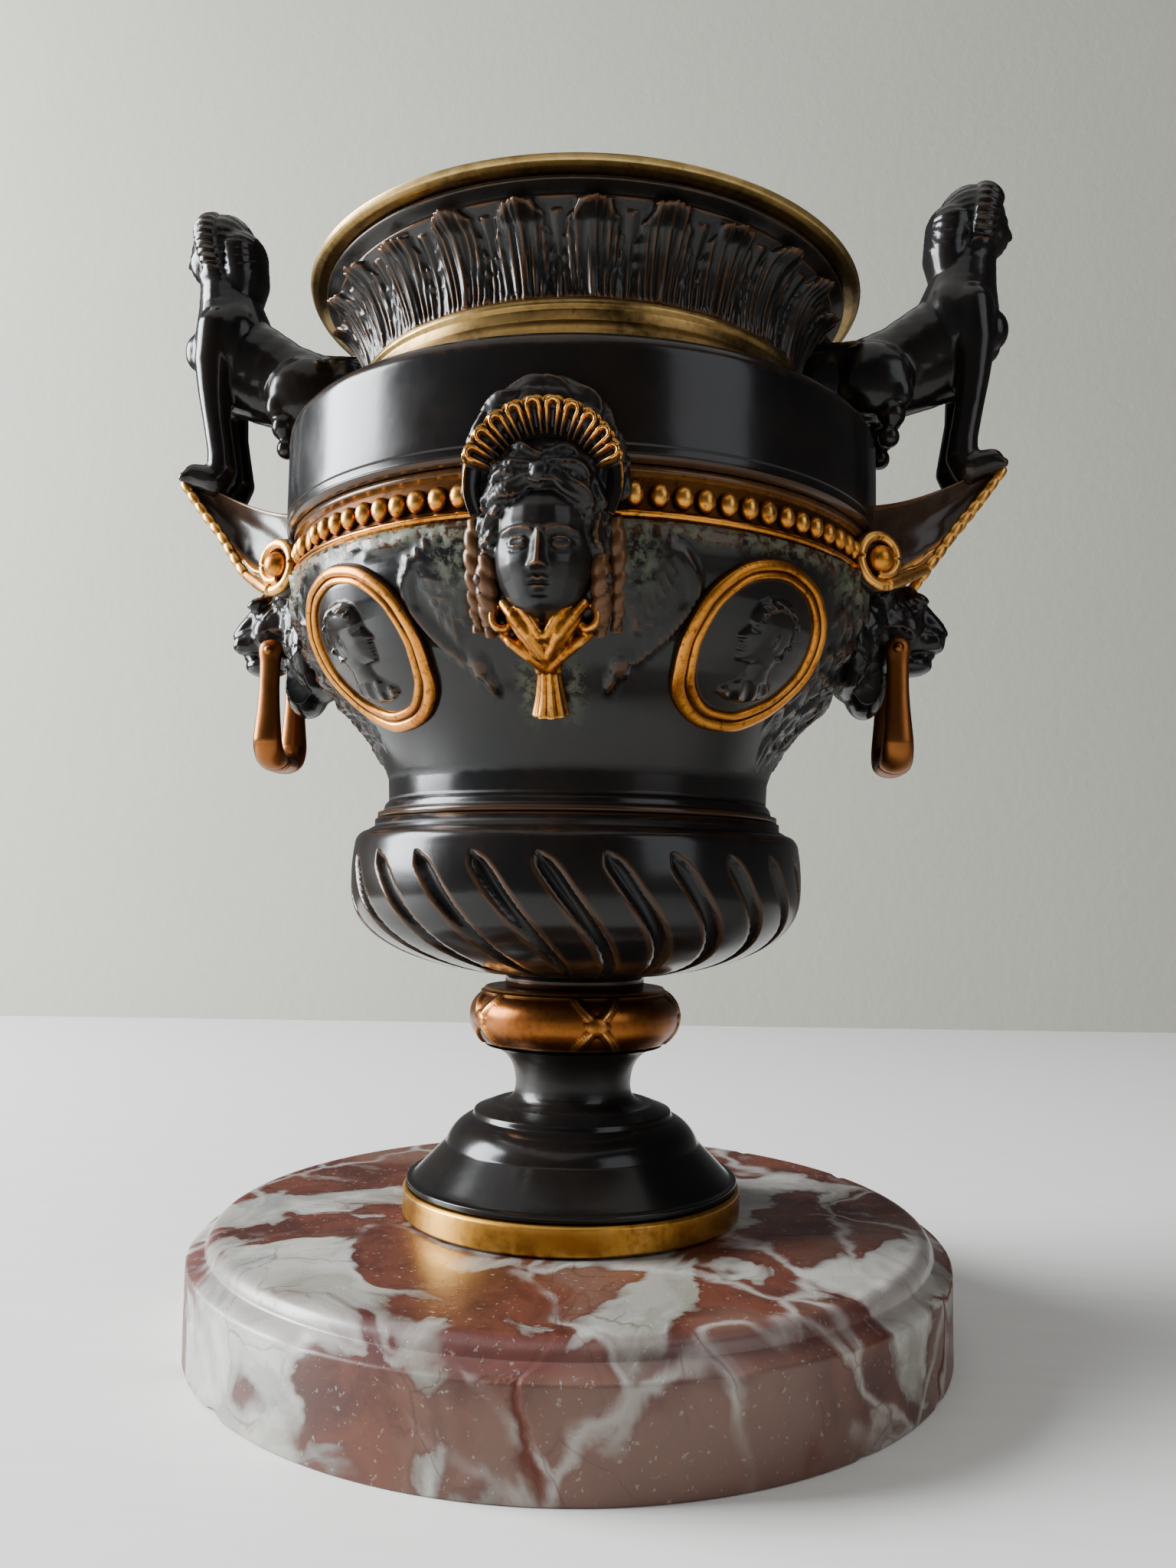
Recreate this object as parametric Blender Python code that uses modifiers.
# Urn on a round marble plinth, with sphinx handles, masks and swinging drop handles.
# Front is -Y, the sphinxes stand on +X and -X, +Z is up, and the plinth's underside is at Z = 0.
import math

import bmesh
import bpy
from mathutils import Matrix, Vector

MM = 0.001

# Clearances
GAP = 0.3 * MM               # between neighbouring pieces
EYE_CLEARANCE = 0.4 * MM     # between a handle's eye and its pin, in radius
CHEEK_CLEARANCE = 0.5 * MM   # between a handle's limb and the lion's cheek
BRACKET_ROOM = 0.5 * MM      # round a bracket, left free by the sphinx and the lion

# Plinth
PLINTH_RADIUS = 71.2 * MM
PLINTH_TOP_RADIUS = 65.3 * MM
PLINTH_SIDE_HEIGHT = 15.9 * MM
PLINTH_HEIGHT = 20.2 * MM

# Foot
FOOT_RADIUS = 32.0 * MM
FOOT_RING_RADIUS = FOOT_RADIUS + 0.6 * MM
FOOT_RING_BORE = FOOT_RADIUS - 8.0 * MM
FOOT_RING_HEIGHT = 5.3 * MM
FOOT_HEIGHT = 26.0 * MM
STEM_RADIUS = 11.3 * MM
STEM_TOP_RADIUS = 17.6 * MM

# Knop
KNOP_RADIUS = 21.0 * MM
KNOP_HEIGHT = 10.8 * MM
KNOP_REEDS = 3

# Vessel: the bell's top radius leads, and the pieces over and under it keep their steps from it
WALL = 2.6 * MM
BELL_HEIGHT = 44.7 * MM
BELL_TOP_RADIUS = 57.3 * MM
WAIST_RADIUS = 0.649 * BELL_TOP_RADIUS
BOWL_HEIGHT = 31.8 * MM
BOWL_RIM_RADIUS = WAIST_RADIUS + 2.8 * MM
BOWL_SWELL = 4.2 * MM
BOWL_RADIUS = BOWL_RIM_RADIUS + BOWL_SWELL
BOWL_NECK_RADIUS = 13.7 * MM
FLUTES = 24
FLUTE_DEPTH = 1.7 * MM
FLUTE_TWIST = math.radians(18)
BAND_HEIGHT = 8.5 * MM
BAND_RADIUS = BELL_TOP_RADIUS - 0.9 * MM
BEADS = 88
BEAD_RISE = 1.5 * MM
DRUM_HEIGHT = 22.2 * MM
DRUM_RADIUS = BELL_TOP_RADIUS + 1.3 * MM
SHOULDER_WIDTH = 11.2 * MM
COLLAR_HEIGHT = 10.7 * MM
COLLAR_RADIUS = DRUM_RADIUS - SHOULDER_WIDTH
COLLAR_BORE = COLLAR_RADIUS - 6.1 * MM
NECK_HEIGHT = 16.4 * MM
NECK_RADIUS = COLLAR_RADIUS - 3.4 * MM
LEAVES = 24
LEAF_FLARE = 9.9 * MM
LEAF_TIP_RADIUS = NECK_RADIUS + LEAF_FLARE
NECK_TOP_RADIUS = LEAF_TIP_RADIUS - 1.3 * MM
LIP_HEIGHT = 3.1 * MM
LIP_RADIUS = LEAF_TIP_RADIUS + 2.0 * MM
LIP_WIDTH = 6.3 * MM
MOUTH_RADIUS = LIP_RADIUS - LIP_WIDTH

# Ornaments
MEDALLION_ANGLE = math.radians(41)    # to either side of the front and of the back
MEDALLION_HEIGHT = 28.2 * MM          # of its centre, above the bell's foot
MEDALLION_WIDTH = 31.0 * MM
MEDALLION_TALL = 31.5 * MM
FRAME_WIDTH = 3.7 * MM
FRAME_RISE = 1.7 * MM
PLAQUE_RISE = 0.7 * MM
HEAD_RISE = 1.1 * MM
SPHINX_TALL = 66.2 * MM               # from paw to crown
LION_TALL = 25.0 * MM
MASK_TALL = 53.0 * MM                 # from the tassel's foot to the hair
BRACKET_REACH = 24.4 * MM             # from the drum's side out to the tip
BRACKET_TIP_WIDTH = 11.0 * MM
BRACKET_ROOT_WIDTH = 44.0 * MM
BRACKET_SCALLOPS = 5
SCROLL_RADIUS = 6.2 * MM
PIN_OUT = 3.4 * MM                    # from the drum's side out to the pin
PIN_DROP = 20.1 * MM                  # from the drum's foot down to the pin
PIN_RADIUS = 1.1 * MM
HANDLE_DROP = 23.6 * MM               # from the pin to the foot of the handle
HANDLE_THICK = 3.0 * MM
HANDLE_TOP_WIDTH = 5.2 * MM
HANDLE_FOOT_WIDTH = 6.8 * MM
MUZZLE_HALF = 5.6 * MM                # half width of the lion's muzzle at the pin
SCULPT_CELL = 0.8 * MM

# Each figure is laid up in units of its own, so many of which make its height
SPHINX_UNIT = SPHINX_TALL / 66.2
LION_UNIT = LION_TALL / 25.0
MASK_UNIT = MASK_TALL / 53.0
BRACKET_UNIT = BRACKET_REACH / 24.4

# Facets round each turned piece
TURN_STEPS = 32
SMALL_STEPS = 24

# Heights of the stacked pieces
Z_FOOT_RING = PLINTH_HEIGHT + GAP
Z_FOOT = Z_FOOT_RING + FOOT_RING_HEIGHT + GAP
Z_KNOP = Z_FOOT + FOOT_HEIGHT + GAP
Z_BOWL = Z_KNOP + KNOP_HEIGHT + GAP
Z_BELL = Z_BOWL + BOWL_HEIGHT + GAP
Z_BAND = Z_BELL + BELL_HEIGHT + GAP
Z_DRUM = Z_BAND + BAND_HEIGHT + GAP
Z_COLLAR = Z_DRUM + DRUM_HEIGHT + GAP
Z_NECK = Z_COLLAR + COLLAR_HEIGHT + GAP
Z_LIP = Z_NECK + NECK_HEIGHT + GAP
Z_PIN = Z_DRUM - PIN_DROP
X_PIN = DRUM_RADIUS + PIN_OUT


def empty_the_scene():
    for thing in list(bpy.data.objects):
        bpy.data.objects.remove(thing, do_unlink=True)
    for group in list(bpy.data.collections):
        bpy.data.collections.remove(group)


def make_collection(name):
    group = bpy.data.collections.new(name)
    bpy.context.scene.collection.children.link(group)
    return group


def make_material(name, colour, metallic, roughness):
    material = bpy.data.materials.new(name)
    material.use_nodes = True
    shader = material.node_tree.nodes["Principled BSDF"]
    shader.inputs["Base Color"].default_value = (*colour, 1.0)
    shader.inputs["Metallic"].default_value = metallic
    shader.inputs["Roughness"].default_value = roughness
    return material


empty_the_scene()
PARTS = make_collection("medici_vase")
CUTTERS = make_collection("cutters")
BLACK = make_material("black_bronze", (0.018, 0.02, 0.022), 0.85, 0.3)
GILT = make_material("gilt_bronze", (0.55, 0.27, 0.05), 0.95, 0.35)
BRASS = make_material("aged_brass", (0.3, 0.21, 0.08), 0.95, 0.35)
COPPER = make_material("copper_bronze", (0.25, 0.09, 0.03), 0.95, 0.38)
MARBLE = make_material("red_marble", (0.28, 0.12, 0.1), 0.0, 0.3)


def add_object(name, mesh, material, group=None):
    thing = bpy.data.objects.new(name, mesh)
    (group or PARTS).objects.link(thing)
    if material:
        thing.data.materials.append(material)
    if group is CUTTERS:
        thing.hide_render = True
        thing.display_type = "WIRE"
    return thing


def smooth_shade(thing, degrees=35):
    for face in thing.data.polygons:
        face.use_smooth = True
    thing.data.set_sharp_from_angle(angle=math.radians(degrees))


def freeze(thing):
    """Apply an object's modifiers to its mesh."""
    bpy.context.view_layer.update()
    graph = bpy.context.evaluated_depsgraph_get()
    mesh = bpy.data.meshes.new_from_object(thing.evaluated_get(graph))
    old = thing.data
    thing.modifiers.clear()
    thing.data = mesh
    bpy.data.meshes.remove(old)


# Turned pieces

def bend(start, end, bulge, parts):
    """Points of an arc from start to end, without start. A positive bulge swells to the left."""
    chord = Vector(end) - Vector(start)
    side = Vector((-chord.y, chord.x))
    points = []
    for index in range(1, parts + 1):
        along = index / parts
        rise = bulge * 4 * along * (1 - along)
        points.append(tuple(Vector(start) + chord * along + side * rise))
    return points


def outline(base, steps):
    """Profile points from (radius, height) steps in metres; a step of four values is an arc."""
    points = []
    for step in steps:
        if len(step) == 2:
            points.append((step[0], base + step[1]))
        else:
            radius, height, bulge, parts = step
            points.extend(bend(points[-1], (radius, base + height), bulge, parts))
    return points


def turned(name, profile, material, steps=TURN_STEPS, group=None):
    """A solid turned from a profile that runs down its outer side."""
    mesh = bpy.data.meshes.new(name)
    edges = [(index, index + 1) for index in range(len(profile) - 1)]
    if profile[0][0] > 0 or profile[-1][0] > 0:
        edges.append((len(profile) - 1, 0))
    mesh.from_pydata([(radius, 0, height) for radius, height in profile], edges, [])
    thing = add_object(name, mesh, material, group)
    screw = thing.modifiers.new("turn", "SCREW")
    screw.axis = "Z"
    screw.angle = math.tau
    screw.steps = steps
    screw.render_steps = steps
    screw.use_merge_vertices = True
    screw.merge_threshold = 0.00001
    freeze(thing)
    smooth_shade(thing)
    return thing


def carved(name, rings, columns, material):
    """A closed solid round the Z axis from rings of (radius, turn, height) functions of the column.

    The first and last rings are closed flat when their radius is None, else joined to each other.
    """
    form = bmesh.new()
    loops = []
    for ring in rings:
        loop = []
        for column in range(columns):
            radius, turn, height = ring(column)
            angle = math.tau * column / columns + turn
            place = (radius * math.cos(angle), radius * math.sin(angle), height)
            loop.append(form.verts.new(place))
        loops.append(loop)
    for upper, lower in zip(loops, loops[1:] + loops[:1]):
        for column in range(columns):
            follow = (column + 1) % columns
            form.faces.new((upper[column], lower[column], lower[follow], upper[follow]))
    mesh = bpy.data.meshes.new(name)
    form.to_mesh(mesh)
    form.free()
    thing = add_object(name, mesh, material)
    return thing


def ring_at(radius, height):
    return lambda column: (radius, 0.0, height)


def make_plinth():
    profile = outline(0, [
        (0, PLINTH_HEIGHT),
        (PLINTH_TOP_RADIUS, PLINTH_HEIGHT),
        (0.55 * PLINTH_TOP_RADIUS + 0.45 * PLINTH_RADIUS, PLINTH_HEIGHT - 2.6 * MM, 0.18, 2),
        (PLINTH_RADIUS, PLINTH_SIDE_HEIGHT),
        (PLINTH_RADIUS, 0),
        (0, 0),
    ])
    turned("plinth", profile, MARBLE, 40)


def make_foot():
    profile = outline(Z_FOOT_RING, [
        (FOOT_RING_BORE, FOOT_RING_HEIGHT),
        (FOOT_RING_RADIUS, FOOT_RING_HEIGHT),
        (FOOT_RING_RADIUS, 0),
        (FOOT_RING_BORE, 0),
    ])
    turned("foot_ring", profile, GILT, 28)
    step = 1.1 * MM
    profile = outline(Z_FOOT, [
        (0, FOOT_HEIGHT),
        (STEM_TOP_RADIUS, FOOT_HEIGHT),
        (STEM_RADIUS, FOOT_HEIGHT - 7.0 * MM, -0.2, 2),
        (STEM_RADIUS + 4.4 * MM, FOOT_HEIGHT - 11.2 * MM, -0.3, 2),
        (0.6 * FOOT_RADIUS, FOOT_HEIGHT - 12.5 * MM),
        (0.61 * FOOT_RADIUS, FOOT_HEIGHT - 13.6 * MM),
        (0.77 * FOOT_RADIUS, 7.4 * MM, 0.12, 2),
        (FOOT_RADIUS - 2 * step, 2 * step),
        (FOOT_RADIUS - step, step),
        (FOOT_RADIUS, step),
        (FOOT_RADIUS, 0),
        (FOOT_RADIUS - 6 * MM, 0),
        (0.5 * FOOT_RADIUS, 8.6 * MM),
        (0, 9.6 * MM),
    ])
    turned("foot", profile, BLACK, SMALL_STEPS)


def make_knop():
    steps = [(0, KNOP_HEIGHT), (KNOP_RADIUS - 3.2 * MM, KNOP_HEIGHT)]
    swell = KNOP_HEIGHT - 1.6 * MM
    for reed in range(2 * KNOP_REEDS + 1):
        height = swell * (1 - reed / (2 * KNOP_REEDS))
        middle = 2 * height / swell - 1
        radius = KNOP_RADIUS - 2.2 * MM * middle ** 4
        steps.append((radius - (0.55 * MM if reed % 2 == 0 else 0), height + 0.3 * MM))
    steps.extend([(KNOP_RADIUS - 3.6 * MM, 0), (0, 0)])
    turned("knop", outline(Z_KNOP, steps), GILT, SMALL_STEPS)


# The vessel's outer side, from (radius, height above the piece's foot) steps, top to bottom

BELL_SIDE = outline(Z_BELL, [
    (BELL_TOP_RADIUS, BELL_HEIGHT),
    (0.805 * BELL_TOP_RADIUS, 0.468 * BELL_HEIGHT, 0.1, 4),
    (WAIST_RADIUS + 0.4 * MM, 7.6 * MM, -0.07, 2),
    (WAIST_RADIUS + 0.2 * MM, 3.4 * MM),
    (WAIST_RADIUS + 2.3 * MM, 0),
])
DRUM_SIDE = outline(Z_DRUM, [
    (COLLAR_RADIUS + 1.0 * MM, DRUM_HEIGHT),
    (DRUM_RADIUS - 2.6 * MM, DRUM_HEIGHT - 1.0 * MM),
    (DRUM_RADIUS, DRUM_HEIGHT - 4.6 * MM, 0.2, 2),
    (DRUM_RADIUS, 0.9 * MM),
    (DRUM_RADIUS - 0.9 * MM, 0),
])
COLLAR_SIDE = outline(Z_COLLAR, [
    (COLLAR_RADIUS - 3.1 * MM, COLLAR_HEIGHT),
    (COLLAR_RADIUS - 2.4 * MM, COLLAR_HEIGHT - 1.4 * MM),
    (COLLAR_RADIUS - 2.8 * MM, COLLAR_HEIGHT - 2.2 * MM),
    (COLLAR_RADIUS - 1.3 * MM, COLLAR_HEIGHT - 6.2 * MM),
    (COLLAR_RADIUS, 0),
])


def neck_radius(share):
    """Radius under the leaves at a share of the neck's height."""
    return NECK_RADIUS + (LEAF_TIP_RADIUS - 2.4 * MM - NECK_RADIUS) * share ** 2.3


def make_bowl():
    def flute(height, depth):
        share = 1 - height / BOWL_HEIGHT

        def place(column):
            cut = depth * FLUTE_DEPTH if column % 2 else 0
            return bowl_side(height) - cut, FLUTE_TWIST * share, Z_BOWL + height
        return place

    def bowl_side(height):
        level = 0.66 * BOWL_HEIGHT
        if height >= level:
            return BOWL_RADIUS - 0.8 * MM * ((height - level) / (7.5 * MM)) ** 2
        share = (level - height) / (level - 2.3 * MM)
        return BOWL_NECK_RADIUS + (BOWL_RADIUS - BOWL_NECK_RADIUS) * (1 - share ** 2.9) ** 0.62

    rim = Z_BOWL + BOWL_HEIGHT
    columns = 2 * FLUTES
    rings = [
        ring_at(BOWL_RIM_RADIUS - WALL, rim),
        ring_at(BOWL_RIM_RADIUS, rim),
        ring_at(BOWL_RIM_RADIUS, rim - 1.3 * MM),
        flute(BOWL_HEIGHT - 3.6 * MM, 0),
        flute(BOWL_HEIGHT - 7.6 * MM, 0),
        flute(0.6 * BOWL_HEIGHT, 1),
        flute(0.33 * BOWL_HEIGHT, 1),
        flute(0.14 * BOWL_HEIGHT, 0.6),
        ring_at(BOWL_NECK_RADIUS, Z_BOWL + 2.4 * MM),
        ring_at(BOWL_NECK_RADIUS, Z_BOWL),
        ring_at(0.3 * MM, Z_BOWL),
        ring_at(0.3 * MM, Z_BOWL + 6.0 * MM),
        ring_at(0.7 * BOWL_RADIUS, Z_BOWL + 9.0 * MM),
        ring_at(BOWL_RADIUS - FLUTE_DEPTH - WALL, Z_BOWL + 0.55 * BOWL_HEIGHT),
    ]
    thing = carved("bowl", rings, columns, BLACK)
    close_axis(thing, 0.3 * MM)
    smooth_shade(thing, 25)


def close_axis(thing, radius):
    """Fill the fine bore that a carved solid was built round."""
    form = bmesh.new()
    form.from_mesh(thing.data)
    core = [v for v in form.verts if math.hypot(v.co.x, v.co.y) < 1.01 * radius]
    for v in core:
        v.co.x = 0
        v.co.y = 0
    bmesh.ops.remove_doubles(form, verts=core, dist=0.00001)
    wires = [e for e in form.edges if len(e.link_faces) == 0]
    bmesh.ops.delete(form, geom=wires, context="EDGES")
    form.to_mesh(thing.data)
    form.free()


def make_vessel():
    inner = outline(Z_BELL, [
        (WAIST_RADIUS + 2.3 * MM - WALL - 1.2 * MM, 0),
        (WAIST_RADIUS - WALL, 5.0 * MM),
        (0.78 * BELL_TOP_RADIUS - WALL, 0.5 * BELL_HEIGHT),
        (BELL_TOP_RADIUS - 1.4 * WALL, BELL_HEIGHT - 9 * MM),
        (BELL_TOP_RADIUS - 1.4 * WALL, BELL_HEIGHT),
    ])
    turned("bell", BELL_SIDE + inner, BLACK)
    inner = outline(Z_DRUM, [
        (BELL_TOP_RADIUS - 1.4 * WALL, 0),
        (DRUM_RADIUS - WALL, 2.0 * MM),
        (DRUM_RADIUS - WALL, DRUM_HEIGHT - WALL - 1.0 * MM),
        (COLLAR_BORE, DRUM_HEIGHT - WALL),
        (COLLAR_BORE, DRUM_HEIGHT),
    ])
    turned("drum", DRUM_SIDE + inner, BLACK)
    inner = outline(Z_COLLAR, [(COLLAR_BORE, 0), (COLLAR_BORE, COLLAR_HEIGHT)])
    turned("collar", COLLAR_SIDE + inner, BRASS)


def make_band():
    bore = BELL_TOP_RADIUS - 1.4 * WALL
    form = bmesh.new()

    def vertex(radius, column, height):
        angle = math.pi * column / BEADS
        return form.verts.new((radius * math.cos(angle), radius * math.sin(angle), height))

    top = [vertex(BAND_RADIUS + 0.7 * MM, 2 * bead, Z_BAND + BAND_HEIGHT) for bead in range(BEADS)]
    foot = [vertex(BAND_RADIUS + 0.4 * MM, 2 * bead, Z_BAND) for bead in range(BEADS)]
    middle = Z_BAND + 0.5 * BAND_HEIGHT
    dips = [vertex(BAND_RADIUS - 0.8 * MM, 2 * bead, middle) for bead in range(BEADS)]
    crests = [vertex(BAND_RADIUS + BEAD_RISE, 2 * bead + 1, middle) for bead in range(BEADS)]
    for bead in range(BEADS):
        follow = (bead + 1) % BEADS
        for edge in (top, foot):
            form.faces.new((edge[bead], dips[bead], crests[bead]))
            form.faces.new((edge[bead], crests[bead], edge[follow]))
            form.faces.new((edge[follow], crests[bead], dips[follow]))
    form.faces.new(top)
    form.faces.new(foot)
    bmesh.ops.recalc_face_normals(form, faces=form.faces)
    mesh = bpy.data.meshes.new("bead_band")
    form.to_mesh(mesh)
    form.free()
    band = add_object("bead_band", mesh, GILT)
    hole = turned("band_bore", [
        (0, Z_BAND + BAND_HEIGHT + 2 * MM), (bore, Z_BAND + BAND_HEIGHT + 2 * MM),
        (bore, Z_BAND - 2 * MM), (0, Z_BAND - 2 * MM)], None, TURN_STEPS, CUTTERS)
    cut(band, hole)
    smooth_shade(band, 60)


def make_neck():
    def leaf(share, rise, dip):
        def place(column):
            lift = rise if column % 2 == 0 else -dip
            return neck_radius(share) + lift, 0.0, Z_NECK + share * 0.86 * NECK_HEIGHT
        return place

    top = Z_NECK + NECK_HEIGHT
    rings = [
        ring_at(MOUTH_RADIUS - 0.6 * MM, top),
        ring_at(NECK_TOP_RADIUS, top),
        ring_at(NECK_TOP_RADIUS - 2.2 * MM, top - 1.8 * MM),
        leaf(1.0, 2.4 * MM, 0.4 * MM),
        leaf(0.86, 1.2 * MM, 0.4 * MM),
        leaf(0.45, 0.7 * MM, 0.5 * MM),
        ring_at(NECK_RADIUS, Z_NECK),
        ring_at(COLLAR_BORE, Z_NECK),
    ]
    smooth_shade(carved("neck", rings, 2 * LEAVES, BLACK), 30)
    middle = 0.5 * (LIP_RADIUS + MOUTH_RADIUS)
    profile = outline(Z_LIP, [
        (MOUTH_RADIUS, 0.6 * LIP_HEIGHT),
        (middle, LIP_HEIGHT),
        (LIP_RADIUS, 0.45 * LIP_HEIGHT, 0.2, 2),
        (LIP_RADIUS - 1.6 * MM, 0),
        (MOUTH_RADIUS, 0),
    ])
    turned("lip", profile, BRASS)


def cut(thing, cutter, operation="DIFFERENCE"):
    boolean = thing.modifiers.new("cut", "BOOLEAN")
    boolean.solver = "EXACT"
    boolean.operation = operation
    boolean.object = cutter
    freeze(thing)


def vessel_cutter():
    """The vessel's outside grown by the clearance, which every ornament is cut back to."""
    room = GAP
    side = []
    side.append((0, Z_LIP + LIP_HEIGHT))
    side.append((LIP_RADIUS + room, Z_LIP + LIP_HEIGHT))
    side.append((LIP_RADIUS + room, Z_LIP - room))
    tip = Z_NECK + 0.86 * NECK_HEIGHT
    side.append((LEAF_TIP_RADIUS + room, tip + room))
    for share in (1.0, 0.6, 0.25, 0.0):
        lift = 0.9 * MM * (1 + share) + room
        side.append((neck_radius(share) + lift, Z_NECK + share * 0.86 * NECK_HEIGHT - 0.2 * MM))
    side.extend((radius + room, height) for radius, height in COLLAR_SIDE[1:])
    side.extend((radius + room, height + room) for radius, height in DRUM_SIDE[:3])
    side.extend((radius + room, height) for radius, height in DRUM_SIDE[3:])
    side.append((BAND_RADIUS + BEAD_RISE + room, Z_BAND + 0.5 * BAND_HEIGHT))
    side.extend((radius + room * 1.1, height - 0.5 * room) for radius, height in BELL_SIDE)
    side.append((0, Z_BELL))
    return turned("vessel_cutter", side, None, TURN_STEPS, CUTTERS)


def bell_radius(height):
    for (upper_radius, upper), (lower_radius, lower) in zip(BELL_SIDE, BELL_SIDE[1:]):
        if lower <= height <= upper:
            share = (height - lower) / (upper - lower)
            return lower_radius + share * (upper_radius - lower_radius)
    return BELL_TOP_RADIUS


def on_bell(angle, across, along, lift):
    """A point of the bell's side, by its distances from a medallion's centre and its lift off the side."""
    reach = 0.38 * MEDALLION_TALL
    middle = Z_BELL + MEDALLION_HEIGHT
    slope = math.atan2(bell_radius(middle + reach) - bell_radius(middle - reach), 2 * reach)
    height = Z_BELL + MEDALLION_HEIGHT + along * math.cos(slope)
    radius = bell_radius(height)
    turn = angle + across / radius
    radius += lift * math.cos(slope)
    return Vector((radius * math.cos(turn), radius * math.sin(turn), height - lift * math.sin(slope)))


def close_solid(form):
    bmesh.ops.recalc_face_normals(form, faces=form.faces)


def make_medallions():
    parts = 12
    half_wide = 0.5 * MEDALLION_WIDTH
    half_tall = 0.5 * MEDALLION_TALL

    def oval(angle, inset, lift):
        points = []
        for index in range(parts):
            turn = math.tau * index / parts
            across = (half_wide - inset) * math.cos(turn)
            along = (half_tall - inset) * math.sin(turn)
            points.append(on_bell(angle, across, along, lift))
        return points

    def relief(across, along):
        """A plain head in profile: skull, neck and bust as soft ovals."""
        spots = ((0.0, 3.4, 4.6, 5.2), (-1.0, -3.0, 2.6, 4.4), (-0.8, -7.2, 5.2, 2.6))
        best = 0
        for x, y, wide, tall in spots:
            reach = ((across / MM - x) / wide) ** 2 + ((along / MM - y) / tall) ** 2
            best = max(best, 1 - reach)
        return min(1.0, 1.6 * max(best, 0)) * HEAD_RISE

    quarter = math.pi / 2
    angles = [-quarter - MEDALLION_ANGLE, -quarter + MEDALLION_ANGLE,
              quarter - MEDALLION_ANGLE, quarter + MEDALLION_ANGLE]
    for number, angle in enumerate(angles, 1):
        form = bmesh.new()
        loops = []
        back = GAP * 1.6
        for inset, lift in ((0, back), (0, FRAME_RISE), (FRAME_WIDTH, 0.9 * FRAME_RISE), (FRAME_WIDTH, back)):
            loops.append([form.verts.new(point) for point in oval(angle, inset, lift)])
        for one, two in zip(loops, loops[1:] + loops[:1]):
            for index in range(parts):
                follow = (index + 1) % parts
                form.faces.new((one[index], one[follow], two[follow], two[index]))
        close_solid(form)
        mesh = bpy.data.meshes.new(f"frame_{number}")
        form.to_mesh(mesh)
        form.free()
        smooth_shade(add_object(f"frame_{number}", mesh, GILT), 50)

        form = bmesh.new()
        loops = []
        edge = FRAME_WIDTH + GAP
        loops.append([form.verts.new(point) for point in oval(angle, edge, GAP * 1.5)])
        loops.append([form.verts.new(point) for point in oval(angle, edge, PLAQUE_RISE)])
        for share in (0.72, 0.42):
            loop = []
            for index in range(parts):
                turn = math.tau * index / parts
                across = (half_wide - edge) * share * math.cos(turn)
                along = (half_tall - edge) * share * math.sin(turn)
                lift = PLAQUE_RISE + 0.4 * MM * (1 - share) + relief(across, along)
                loop.append(form.verts.new(on_bell(angle, across, along, lift)))
            loops.append(loop)
        for one, two in zip(loops, loops[1:]):
            for index in range(parts):
                follow = (index + 1) % parts
                form.faces.new((one[index], one[follow], two[follow], two[index]))
        inner = []
        for index in range(parts):
            turn = math.tau * index / parts
            across = (half_wide - edge) * 0.55 * math.cos(turn)
            along = (half_tall - edge) * 0.55 * math.sin(turn)
            inner.append(form.verts.new(on_bell(angle, across, along, GAP * 1.5)))
        back = form.verts.new(on_bell(angle, 0, 0, GAP * 1.5))
        front = form.verts.new(on_bell(angle, 0, 0, PLAQUE_RISE + 0.4 * MM + relief(0, 0)))
        for index in range(parts):
            follow = (index + 1) % parts
            form.faces.new((loops[0][follow], loops[0][index], inner[index], inner[follow]))
            form.faces.new((inner[follow], inner[index], back))
            form.faces.new((loops[-1][index], loops[-1][follow], front))
        close_solid(form)
        mesh = bpy.data.meshes.new(f"plaque_{number}")
        form.to_mesh(mesh)
        form.free()
        smooth_shade(add_object(f"plaque_{number}", mesh, BLACK), 50)


# Figures: soft forms laid up from balls, then joined into one skin

class Clay:
    """Overlapping balls, gathered as plain lists of corners and faces."""

    def __init__(self, unit):
        self.unit_length = unit
        self.corners = []
        self.faces = []
        form = bmesh.new()
        bmesh.ops.create_uvsphere(form, u_segments=16, v_segments=10, radius=1)
        self.unit = [v.co.copy() for v in form.verts]
        self.unit_faces = [[v.index for v in face.verts] for face in form.faces]
        form.free()

    def ball(self, place, radii, lean=0.0):
        """A ball with three radii in the figure's units, leaned in the XZ plane."""
        length = self.unit_length
        spread = Matrix.Diagonal((*[radius * length for radius in radii], 1))
        lean_turn = Matrix.Rotation(math.radians(lean), 4, "Y")
        matrix = Matrix.Translation(Vector(place) * length) @ lean_turn @ spread
        start = len(self.corners)
        self.corners.extend(matrix @ corner for corner in self.unit)
        self.faces.extend([start + index for index in face] for face in self.unit_faces)

    def run(self, stations, squash=1.0):
        """A chain of balls through stations of x, y, z and radius."""
        for one, two in zip(stations, stations[1:]):
            start, end = Vector(one[:3]), Vector(two[:3])
            steps = max(1, round((end - start).length / (0.5 * min(one[3], two[3]))))
            for index in range(steps + 1):
                share = index / steps
                radius = one[3] + share * (two[3] - one[3])
                self.ball(start.lerp(end, share), (radius, radius * squash, radius))


def both_sides(stations, side):
    return [(x, side * y, z, radius) for x, y, z, radius in stations]


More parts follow.
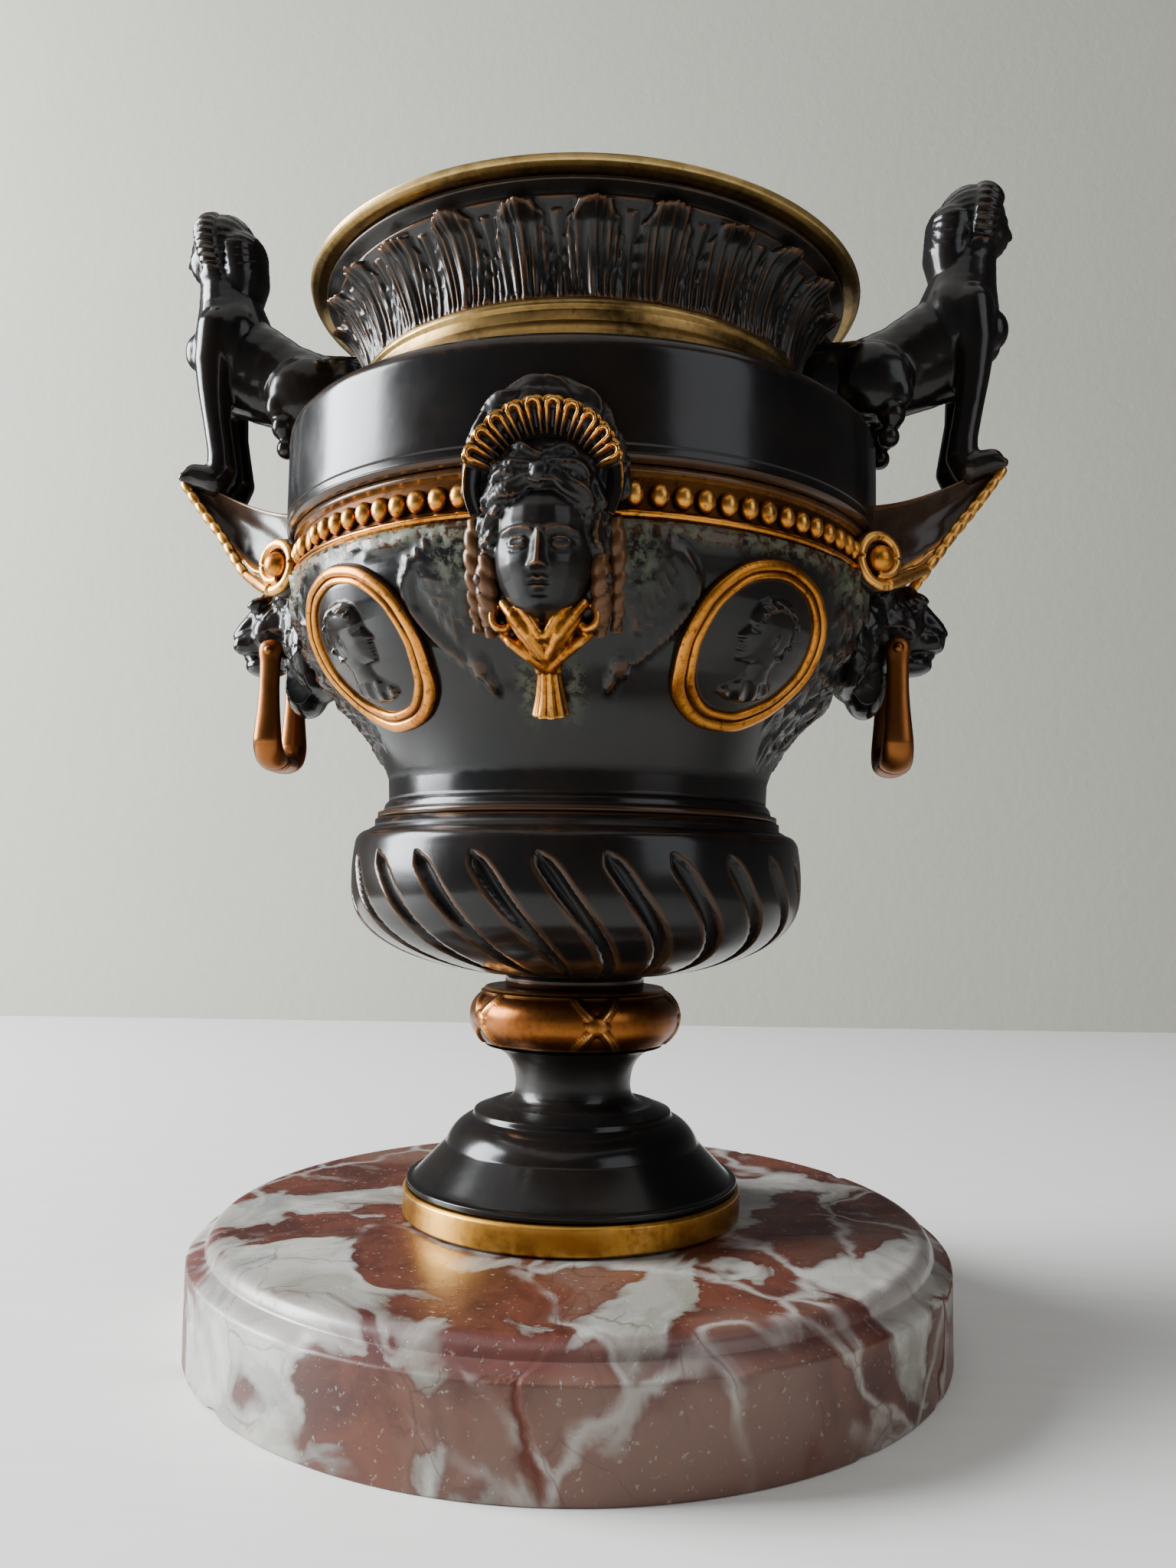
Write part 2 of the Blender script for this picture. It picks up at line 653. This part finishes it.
def skin(name, clay, material, faces, smoothing=5):
    """One closed, lightly faceted solid from overlapping balls."""
    mesh = bpy.data.meshes.new(name)
    mesh.from_pydata(clay.corners, [], clay.faces)
    thing = add_object(name, mesh, material, CUTTERS)
    remesh = thing.modifiers.new("join", "REMESH")
    remesh.mode = "VOXEL"
    remesh.voxel_size = SCULPT_CELL
    smooth = thing.modifiers.new("soften", "SMOOTH")
    smooth.iterations = smoothing
    smooth.factor = 0.5
    freeze(thing)
    thin = thing.modifiers.new("thin", "DECIMATE")
    thin.ratio = min(1.0, faces / (2 * len(thing.data.polygons)))
    freeze(thing)
    return thing


def keep_largest(thing):
    """Drop the small crumbs that a cut leaves beside a figure."""
    form = bmesh.new()
    form.from_mesh(thing.data)
    bmesh.ops.remove_doubles(form, verts=form.verts, dist=0.00001)
    left = set(form.verts)
    bodies = []
    while left:
        body = {left.pop()}
        front = list(body)
        while front:
            for edge in front.pop().link_edges:
                for vertex in edge.verts:
                    if vertex in left:
                        left.remove(vertex)
                        body.add(vertex)
                        front.append(vertex)
        bodies.append(body)
    bodies.sort(key=len)
    for body in bodies[:-1]:
        bmesh.ops.delete(form, geom=list(body), context="VERTS")
    form.to_mesh(thing.data)
    form.free()
    return len(bodies)


def place_figure(name, figure, across, height, turn, trims):
    """A copy of a figure, moved from its own origin to the vessel, turned, and cut back."""
    thing = add_object(name, figure.data.copy(), None)
    thing.data.transform(Matrix.Translation((across, 0, height)))
    thing.data.transform(Matrix.Rotation(turn, 4, "Z"))
    for trim in trims:
        cut(thing, trim)
    keep_largest(thing)
    smooth_shade(thing, 50)
    return thing


def sphinx_form():
    clay = Clay(SPHINX_UNIT)
    clay.run([(-11, 0, 14.4, 9.0), (-3, 0, 14.9, 9.0), (4, 0, 18.6, 8.6),
              (10, 0, 22.8, 9.2), (16.2, 0, 26.6, 9.0)], 0.86)
    clay.run([(16.2, 0, 27.5, 8.4), (17.6, 0, 35.6, 6.4), (18.6, 0, 41.5, 5.4)], 0.95)
    clay.ball((19.3, 0, 49.6), (7.2, 6.6, 7.9))
    clay.ball((23.6, 0, 48.2), (4.0, 4.0, 6.2))
    clay.ball((27.0, 0, 48.2), (1.3, 1.0, 1.6))
    clay.run([(14.6, 0, 46.0, 4.2), (14.0, 0, 40.0, 3.2)], 1.6)
    for side in (-1, 1):
        clay.ball((24.0, side * 3.5, 26.6), (3.2, 3.0, 3.2))
        clay.run(both_sides([(18.8, 5.4, 23.0, 5.2), (17.6, 5.2, 15.0, 3.9), (16.6, 5.0, 8.6, 3.3),
                              (15.1, 4.9, 2.0, 3.5), (14.9, 4.9, -2.2, 3.7), (16.4, 4.9, -5.2, 3.5)], side))
        clay.run(both_sides([(16.4, 4.9, -4.8, 3.5), (21.2, 5.2, -3.4, 2.9)], side), 1.15)
        clay.ball((-2.0, side * 6.4, 13.6), (8.0, 4.4, 7.4), 20)
        clay.run(both_sides([(2.4, 7.0, 10.4, 3.6), (0.6, 6.6, 5.2, 2.6), (0.0, 6.2, 2.4, 2.9)], side))
    return clay


def lion_form():
    clay = Clay(LION_UNIT)
    clay.ball((-1.5, 0, 5.0), (8.6, 7.6, 8.6))
    clay.ball((-6.5, 0, 3.5), (6.0, 13.5, 12.5))
    clay.ball((-8.0, 0, 1.0), (5.0, 15.5, 9.0))
    clay.ball((5.4, 0, 3.6), (5.0, 4.9, 4.1))
    clay.ball((3.4, 0, -0.6), (5.0, 4.6, 2.8))
    clay.ball((9.2, 0, 3.4), (1.5, 2.0, 1.5))
    clay.run([(3.6, 0, 11.5, 3.0), (6.6, 0, 5.4, 2.2)])
    for side in (-1, 1):
        clay.ball((4.6, side * 3.4, 12.2), (3.4, 2.6, 2.6))
        clay.ball((-2.0, side * 8.0, 10.5), (2.6, 2.4, 2.8))
    return clay


def mask_form():
    clay = Clay(MASK_UNIT)
    clay.ball((1.0, 0, -6.0), (8.3, 8.4, 10.4))
    clay.ball((-0.8, 0, 5.4), (9.2, 11.4, 10.6))
    clay.ball((-1.5, 0, 12.5), (7.0, 11.0, 8.8))
    clay.ball((9.0, 0, -5.2), (1.5, 1.2, 2.6))
    arch = []
    for index in range(13):
        angle = math.radians(-25 + 230 * index / 12)
        arch.append((5.6, 12.0 * math.cos(angle), 5.0 + 12.2 * math.sin(angle), 1.7))
    clay.run(arch)
    for side in (-1, 1):
        braid = [(0.6, 11.2, -1.0, 2.4), (-1.6, 11.4, -10.0, 2.1), (-4.2, 11.2, -16.5, 2.3)]
        clay.run(both_sides(braid, side))
    clay.ball((-4.2, 0, -16.5), (6.4, 8.2, 5.6))
    clay.run([(-5.4, 0, -20.0, 3.6), (-9.6, 0, -24.6, 2.2), (-10.4, 0, -29.0, 2.7)])
    return clay


def bracket_edge(share):
    """Heights of the bracket's upper and lower edge above the drum's foot, at a share of its length."""
    upper = 4.0 + 13.9 * share ** 1.35
    lower = -8.6 + 24.6 * max(0.0, share - 0.12) ** 1.7 / 0.88 ** 1.7
    return upper * BRACKET_UNIT, lower * BRACKET_UNIT


def bracket_half_width(share):
    return 0.5 * (BRACKET_TIP_WIDTH + (BRACKET_ROOT_WIDTH - BRACKET_TIP_WIDTH) * (1 - share) ** 2.2)


def make_bracket_form(name, grow=0.0):
    """Lofted bracket: sections across X, its sides flaring towards the vessel, its lower edge scalloped."""
    start = DRUM_RADIUS - 8.0 * BRACKET_UNIT
    length = BRACKET_REACH + 8.0 * BRACKET_UNIT
    stations = 3 * BRACKET_SCALLOPS
    form = bmesh.new()
    loops = []
    for index in range(stations + 1):
        share = index / stations
        upper, lower = bracket_edge(share)
        wave = 0.7 * BRACKET_UNIT * abs(math.sin(math.pi * index / 3)) if index > 4 else 0
        lower -= wave
        half = bracket_half_width(share) + grow
        hollow = 0.2 * math.sin(math.pi * min(1.0, share * 1.07) ** 2)
        waist = (1 - hollow) * bracket_half_width(share) + grow
        upper += grow
        lower -= grow
        x = start + length * share + (grow if index == stations else 0)
        middle = 0.5 * (upper + lower)
        points = [(-half, upper), (-waist, middle), (-half, lower),
                  (half, lower), (waist, middle), (half, upper)]
        loops.append([form.verts.new((x, y, Z_DRUM + z)) for y, z in points])
    for one, two in zip(loops, loops[1:]):
        for index in range(6):
            follow = (index + 1) % 6
            form.faces.new((one[index], one[follow], two[follow], two[index]))
    form.faces.new(loops[0])
    form.faces.new(loops[-1])
    close_solid(form)
    bmesh.ops.triangulate(form, faces=form.faces[:], quad_method="FIXED", ngon_method="EAR_CLIP")
    mesh = bpy.data.meshes.new(name)
    form.to_mesh(mesh)
    form.free()
    return mesh


def scroll(name, side, radius, material, group=None):
    """The scroll's boss, a short splayed drum at the root of the bracket."""
    form = bmesh.new()
    half_long = 5.0 * BRACKET_UNIT
    splay = math.radians(40) * side
    root = side * -0.3636 * BRACKET_ROOT_WIDTH
    place = (DRUM_RADIUS - 1.6 * MM, root, Z_DRUM - 5.4 * BRACKET_UNIT)
    matrix = Matrix.Translation(place) @ Matrix.Rotation(splay, 4, "Z") @ Matrix.Rotation(math.pi / 2, 4, "X")
    bmesh.ops.create_cone(form, cap_ends=True, segments=10, radius1=radius, radius2=radius,
                          depth=2 * half_long, matrix=matrix)
    mesh = bpy.data.meshes.new(name)
    form.to_mesh(mesh)
    form.free()
    return add_object(name, mesh, material, group)


def make_handle(name):
    """Drop handle: a U of round bar, drawn out wider towards its foot, on eyes for the pin."""
    half = MUZZLE_HALF + CHEEK_CLEARANCE + 0.5 * HANDLE_THICK
    foot = HANDLE_DROP - 0.5 * HANDLE_THICK
    turn = 1.5 * HANDLE_THICK
    points = [(0, -half, 0.5 * HANDLE_TOP_WIDTH), (0, -half, -0.25 * HANDLE_DROP)]
    for index in range(4):
        angle = math.pi / 2 * index / 3
        points.append((0, -half + turn * (1 - math.cos(angle)), -foot + turn - turn * math.sin(angle)))
    points += [(x, -y, z) for x, y, z in reversed(points)]
    curve = bpy.data.curves.new(name + "_bar", "CURVE")
    curve.dimensions = "3D"
    curve.bevel_depth = 0.5 * HANDLE_THICK
    curve.bevel_resolution = 1
    curve.use_fill_caps = True
    spline = curve.splines.new("POLY")
    spline.points.add(len(points) - 1)
    for point, place in zip(spline.points, points):
        point.co = (*place, 1)
    bar = bpy.data.objects.new(name + "_bar", curve)
    PARTS.objects.link(bar)
    bpy.context.view_layer.update()
    graph = bpy.context.evaluated_depsgraph_get()
    mesh = bpy.data.meshes.new_from_object(bar.evaluated_get(graph))
    bpy.data.objects.remove(bar)
    form = bmesh.new()
    form.from_mesh(mesh)
    bmesh.ops.remove_doubles(form, verts=form.verts, dist=0.00001)
    for v in form.verts:
        share = min(1.0, max(0.0, -v.co.z / HANDLE_DROP))
        width = HANDLE_TOP_WIDTH + (HANDLE_FOOT_WIDTH - HANDLE_TOP_WIDTH) * share ** 1.5
        v.co.x *= width / HANDLE_THICK
    bmesh.ops.recalc_face_normals(form, faces=form.faces)
    form.to_mesh(mesh)
    form.free()
    handle = add_object(name, mesh, COPPER)
    form = bmesh.new()
    bmesh.ops.create_cone(form, cap_ends=True, segments=12, radius1=PIN_RADIUS + EYE_CLEARANCE,
                          radius2=PIN_RADIUS + EYE_CLEARANCE, depth=4 * half,
                          matrix=Matrix.Rotation(math.pi / 2, 4, "X"))
    mesh = bpy.data.meshes.new(name + "_eye")
    form.to_mesh(mesh)
    form.free()
    cut(handle, add_object(name + "_eye", mesh, None, CUTTERS))
    smooth_shade(handle, 40)
    return handle


def limb_room():
    """What the lion leaves free on both cheeks for the handle's limbs to hang and swing."""
    near = MUZZLE_HALF
    far = MUZZLE_HALF + 2 * CHEEK_CLEARANCE + HANDLE_THICK
    radius = 0.5 * HANDLE_TOP_WIDTH + 1.8 * MM
    rooms = []
    for hand in (1, -1):
        form = bmesh.new()
        place = Matrix.Translation((X_PIN, hand * 0.5 * (near + far), Z_PIN))
        bmesh.ops.create_cone(form, cap_ends=True, segments=12, radius1=radius, radius2=radius,
                              depth=far - near, matrix=place @ Matrix.Rotation(math.pi / 2, 4, "X"))
        for v in form.verts:
            if v.co.z < Z_PIN - 0.5 * MM:
                v.co.z -= 0.5 * HANDLE_DROP
                if v.co.x < X_PIN:
                    v.co.x -= 0.36 * HANDLE_DROP
        mesh = bpy.data.meshes.new("limb_room")
        form.to_mesh(mesh)
        form.free()
        rooms.append(add_object("limb_room", mesh, None, CUTTERS))
    return rooms


def add_pin(lion):
    half = MUZZLE_HALF + CHEEK_CLEARANCE + HANDLE_THICK + 0.4 * MM
    form = bmesh.new()
    matrix = Matrix.Translation((X_PIN, 0, Z_PIN)) @ Matrix.Rotation(math.pi / 2, 4, "X")
    bmesh.ops.create_cone(form, cap_ends=True, segments=10, radius1=PIN_RADIUS, radius2=PIN_RADIUS,
                          depth=2 * half, matrix=matrix)
    mesh = bpy.data.meshes.new("pin")
    form.to_mesh(mesh)
    form.free()
    pin = add_object("pin", mesh, None, CUTTERS)
    cut(lion, pin, "UNION")
    smooth_shade(lion, 50)


def half_turn_copy(thing, name):
    """The same casting on the other side of the vessel."""
    mesh = thing.data.copy()
    mesh.name = name
    mesh.transform(Matrix.Rotation(math.pi, 4, "Z"))
    return add_object(name, mesh, None)


def make_sides(vessel):
    bracket = add_object("bracket_right", make_bracket_form("bracket_right"), GILT)
    room = add_object("bracket_room", make_bracket_form("bracket_room", BRACKET_ROOM), None, CUTTERS)
    for hand in (1, -1):
        cut(bracket, scroll("scroll", hand, SCROLL_RADIUS, None, CUTTERS), "UNION")
        cut(room, scroll("scroll_room", hand, SCROLL_RADIUS + BRACKET_ROOM, None, CUTTERS), "UNION")
    cut(bracket, vessel)
    smooth_shade(bracket, 40)
    sphinx_cast = skin("sphinx_cast", sphinx_form(), BLACK, 400)
    sphinx = place_figure("sphinx_right", sphinx_cast, DRUM_RADIUS + 1.4 * MM,
                          Z_DRUM + DRUM_HEIGHT - 1.3 * MM, 0, [vessel, room])
    lion_cast = skin("lion_cast", lion_form(), BLACK, 170)
    lion = place_figure("lion_right", lion_cast, X_PIN, Z_PIN, 0, [vessel, room] + limb_room())
    add_pin(lion)
    half_turn_copy(bracket, "bracket_left")
    half_turn_copy(sphinx, "sphinx_left")
    half_turn_copy(lion, "lion_left")
    handle = make_handle("ring_right")
    handle.location = (X_PIN, 0, Z_PIN)
    other = half_turn_copy(handle, "ring_left")
    other.location = (-X_PIN, 0, Z_PIN)


def make_masks(vessel):
    mask_cast = skin("mask_cast", mask_form(), BLACK, 320)
    mask = place_figure("mask_front", mask_cast, BELL_TOP_RADIUS - 2.3 * MM, Z_BAND - GAP,
                        -math.pi / 2, [vessel])
    half_turn_copy(mask, "mask_back")


make_plinth()
make_foot()
make_knop()
make_bowl()
make_vessel()
make_band()
make_neck()
make_medallions()
VESSEL = vessel_cutter()
make_sides(VESSEL)
make_masks(VESSEL)
bpy.context.view_layer.update()
